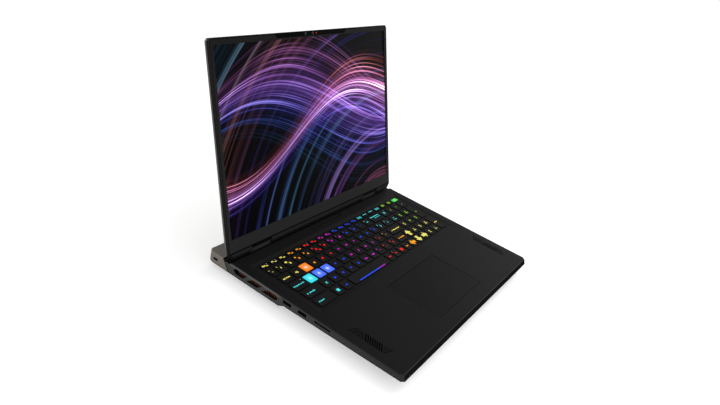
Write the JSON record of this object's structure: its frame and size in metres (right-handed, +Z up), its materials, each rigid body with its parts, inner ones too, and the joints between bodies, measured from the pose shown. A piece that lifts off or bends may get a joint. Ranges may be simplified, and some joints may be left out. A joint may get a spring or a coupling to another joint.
{
  "type": "laptop computer",
  "caption": "Large open laptop with a hinged screen lid, full keyboard with sprung keys, clicking touchpad, side vents and ports, and a grey rear exhaust block.",
  "frame": {"origin": "on the table, under the middle of the outline with the lid open as in the picture", "axes": "+X to the user's right, +Y away from the user, +Z up"},
  "size_m": [0.38, 0.3482, 0.2724],
  "materials": {
    "deck_black": "fine satin coat",
    "titan_grey": "anodised titanium grey",
    "cover_dark": "dark warm grey, matt",
    "screw_steel": "blackened",
    "pad_black": "etched glass",
    "bracket_steel": "plain",
    "hinge_black": "black paint",
    "foot_rubber": "matt",
    "rim_black": "satin",
    "seal_rubber": "matt",
    "bezel_black": "fine grain",
    "strip_black": "fine grain",
    "screen": "lit",
    "camera_black": "gloss",
    "lens_glass": "gloss",
    "light_red": "gloss",
    "hinge_steel": "plain",
    "tray_black": "matt",
    "port_metal": "plated",
    "board_green": "solder mask",
    "plate_copper": "bare copper",
    "chip_black": "matt",
    "fan_black": "matt",
    "fin_copper": "bare copper",
    "key_black": "satin",
    "key_orange": "lit",
    "key_cyan": "lit",
    "key_blue": "lit",
    "key_green": "lit"
  },
  "bodies": {
    "base": {"top_case": "deck_black", "rear_block": "titan_grey", "bottom_cover": "cover_dark", "bottom_screws": "screw_steel", "touchpad_bracket": "bracket_steel", "hinge_base_right": "hinge_black", "hinge_base_left": "hinge_black", "front_feet": "foot_rubber", "rear_foot": "foot_rubber", "keyboard_tray": "tray_black", "usb_ports": "port_metal", "card_reader": "port_metal", "power_inlet": "port_metal", "rear_ports": "port_metal", "main_board": "board_green", "processors": "plate_copper", "heat_pipes": "plate_copper", "memory_modules": "board_green", "drives": "chip_black", "fan_housing_right": "fan_black", "fan_housing_left": "fan_black", "fin_stack_right": "fin_copper", "fin_stack_left": "fin_copper", "battery_pack": "chip_black", "speaker_right": "chip_black", "speaker_left": "chip_black"},
    "lid": {"lid_cover": "titan_grey", "lid_rim": "rim_black", "lid_gasket": "seal_rubber", "display_bezel": "bezel_black", "hinge_strip": "strip_black", "display_panel": "screen", "camera_bar": "camera_black", "camera_lenses": "lens_glass", "camera_lights": "light_red", "hinge_leaf_right": "hinge_steel", "hinge_leaf_left": "hinge_steel", "hinge_pin_right": "hinge_steel", "hinge_pin_left": "hinge_steel"},
    "touchpad": {"touchpad": "pad_black"},
    "fan_rotor_right": {"fan_rotor_right": "fan_black"},
    "fan_rotor_left": {"fan_rotor_left": "fan_black"},
    "key_w": {"key_w": "key_orange"},
    "key_a": {"key_a": "key_cyan"},
    "key_s": {"key_s": "key_blue"},
    "key_d": {"key_d": "key_blue"},
    "key_arrow_up": {"key_arrow_up": "key_black"},
    "key_arrow_left": {"key_arrow_left": "key_black"},
    "key_arrow_down": {"key_arrow_down": "key_black"},
    "key_arrow_right": {"key_arrow_right": "key_black"},
    "key_space": {"key_space": "key_black"},
    "key_enter": {"key_enter": "key_black"},
    "key_power": {"key_power": "key_green"},
    "keys_function_row": {"keys_function_row": "key_black"},
    "keys_number_row": {"keys_number_row": "key_black"},
    "keys_upper_row": {"keys_upper_row": "key_black"},
    "keys_home_row": {"keys_home_row": "key_black"},
    "keys_lower_row": {"keys_lower_row": "key_black"},
    "keys_bottom_row": {"keys_bottom_row": "key_black"},
    "keys_number_pad": {"keys_number_pad": "key_black"}
  },
  "joints": [
    {"name": "lid_hinge", "type": "hinge", "parent": "base", "child": "lid", "pos_m": [0, 0.08751, 0.0265], "axis": [-1, 0, 0], "range_deg": [-108.9, 31.1]},
    {"name": "touchpad_click", "type": "hinge", "parent": "base", "child": "touchpad", "pos_m": [0, -0.07525, 0.01995], "axis": [1, 0, 0], "range_deg": [0, 0.5], "stiffness_Nm_per_rad": 4, "springref_deg": -0.57},
    {"name": "fan_spin_right", "type": "hinge", "parent": "base", "child": "fan_rotor_right", "pos_m": [0.143, 0.04291, 0.0081], "axis": [0, 0, 1], "continuous": true},
    {"name": "fan_spin_left", "type": "hinge", "parent": "base", "child": "fan_rotor_left", "pos_m": [-0.143, 0.04291, 0.0081], "axis": [0, 0, 1], "continuous": true},
    {"name": "key_w_press", "type": "slide", "parent": "base", "child": "key_w", "axis": [0, 0, -1], "range_m": [0, 0.0016], "stiffness_N_per_m": 150, "springref_m": -0.0012},
    {"name": "key_a_press", "type": "slide", "parent": "base", "child": "key_a", "axis": [0, 0, -1], "range_m": [0, 0.0016], "stiffness_N_per_m": 150, "springref_m": -0.0012},
    {"name": "key_s_press", "type": "slide", "parent": "base", "child": "key_s", "axis": [0, 0, -1], "range_m": [0, 0.0016], "stiffness_N_per_m": 150, "springref_m": -0.0012},
    {"name": "key_d_press", "type": "slide", "parent": "base", "child": "key_d", "axis": [0, 0, -1], "range_m": [0, 0.0016], "stiffness_N_per_m": 150, "springref_m": -0.0012},
    {"name": "key_arrow_up_press", "type": "slide", "parent": "base", "child": "key_arrow_up", "axis": [0, 0, -1], "range_m": [0, 0.0016], "stiffness_N_per_m": 150, "springref_m": -0.0012},
    {"name": "key_arrow_left_press", "type": "slide", "parent": "base", "child": "key_arrow_left", "axis": [0, 0, -1], "range_m": [0, 0.0016], "stiffness_N_per_m": 150, "springref_m": -0.0012},
    {"name": "key_arrow_down_press", "type": "slide", "parent": "base", "child": "key_arrow_down", "axis": [0, 0, -1], "range_m": [0, 0.0016], "stiffness_N_per_m": 150, "springref_m": -0.0012},
    {"name": "key_arrow_right_press", "type": "slide", "parent": "base", "child": "key_arrow_right", "axis": [0, 0, -1], "range_m": [0, 0.0016], "stiffness_N_per_m": 150, "springref_m": -0.0012},
    {"name": "key_space_press", "type": "slide", "parent": "base", "child": "key_space", "axis": [0, 0, -1], "range_m": [0, 0.0016], "stiffness_N_per_m": 150, "springref_m": -0.0012},
    {"name": "key_enter_press", "type": "slide", "parent": "base", "child": "key_enter", "axis": [0, 0, -1], "range_m": [0, 0.0016], "stiffness_N_per_m": 150, "springref_m": -0.0012},
    {"name": "key_power_press", "type": "slide", "parent": "base", "child": "key_power", "axis": [0, 0, -1], "range_m": [0, 0.0016], "stiffness_N_per_m": 150, "springref_m": -0.0012},
    {"name": "keys_function_row_press", "type": "slide", "parent": "base", "child": "keys_function_row", "axis": [0, 0, -1], "range_m": [0, 0.0016], "stiffness_N_per_m": 2850, "springref_m": -0.0012},
    {"name": "keys_number_row_press", "type": "slide", "parent": "base", "child": "keys_number_row", "axis": [0, 0, -1], "range_m": [0, 0.0016], "stiffness_N_per_m": 2100, "springref_m": -0.0012},
    {"name": "keys_upper_row_press", "type": "slide", "parent": "base", "child": "keys_upper_row", "axis": [0, 0, -1], "range_m": [0, 0.0016], "stiffness_N_per_m": 1950, "springref_m": -0.0012},
    {"name": "keys_home_row_press", "type": "slide", "parent": "base", "child": "keys_home_row", "axis": [0, 0, -1], "range_m": [0, 0.0016], "stiffness_N_per_m": 1350, "springref_m": -0.0012},
    {"name": "keys_lower_row_press", "type": "slide", "parent": "base", "child": "keys_lower_row", "axis": [0, 0, -1], "range_m": [0, 0.0016], "stiffness_N_per_m": 1800, "springref_m": -0.0012},
    {"name": "keys_bottom_row_press", "type": "slide", "parent": "base", "child": "keys_bottom_row", "axis": [0, 0, -1], "range_m": [0, 0.0016], "stiffness_N_per_m": 1050, "springref_m": -0.0012},
    {"name": "keys_number_pad_press", "type": "slide", "parent": "base", "child": "keys_number_pad", "axis": [0, 0, -1], "range_m": [0, 0.0016], "stiffness_N_per_m": 2550, "springref_m": -0.0012}
  ]
}
